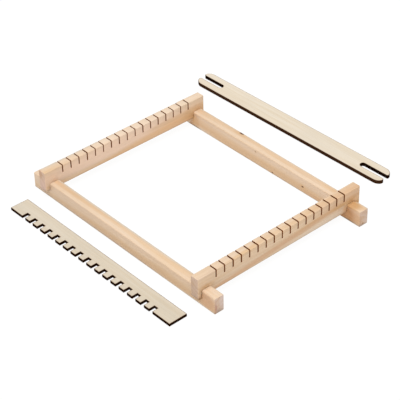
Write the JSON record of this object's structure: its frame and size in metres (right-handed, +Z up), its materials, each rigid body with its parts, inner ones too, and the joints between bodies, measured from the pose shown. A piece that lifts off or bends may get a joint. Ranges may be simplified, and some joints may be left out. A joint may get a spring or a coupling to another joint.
{
  "type": "frame loom with comb and stick shuttle",
  "caption": "Small wooden frame loom of notched rails and slotted warp beams, lying flat, with a plywood comb and a stick shuttle beside it.",
  "frame": {"origin": "on the table, below the middle of the box around the frame and both tools", "axes": "+X along the warp beams towards the shuttle, +Y along the side rails towards the back beam, +Z up from the table"},
  "size_m": [0.305, 0.2942, 0.0308],
  "materials": {
    "pine": "planed and sanded, unfinished, satin",
    "birch_plywood": "sanded faces, laser-cut edges burnt dark brown"
  },
  "bodies": {
    "side_rails": {"left_side_rail": "pine", "right_side_rail": "pine"},
    "front_beam": {"front_warp_beam": "pine"},
    "back_beam": {"back_warp_beam": "pine"},
    "comb": {"weaving_comb": "birch_plywood"},
    "shuttle": {"stick_shuttle": "birch_plywood"}
  },
  "joints": [
    {"name": "front_beam_lift", "type": "slide", "parent": "side_rails", "child": "front_beam", "axis": [0, 0, 1], "range_m": [0, 0.03]},
    {"name": "back_beam_lift", "type": "slide", "parent": "side_rails", "child": "back_beam", "axis": [0, 0, 1], "range_m": [0, 0.03]},
    {"name": "comb_lift", "type": "slide", "parent": "side_rails", "child": "comb", "axis": [0, 0, 1], "range_m": [0, 0.06]},
    {"name": "shuttle_lift", "type": "slide", "parent": "side_rails", "child": "shuttle", "axis": [0, 0, 1], "range_m": [0, 0.06]}
  ]
}
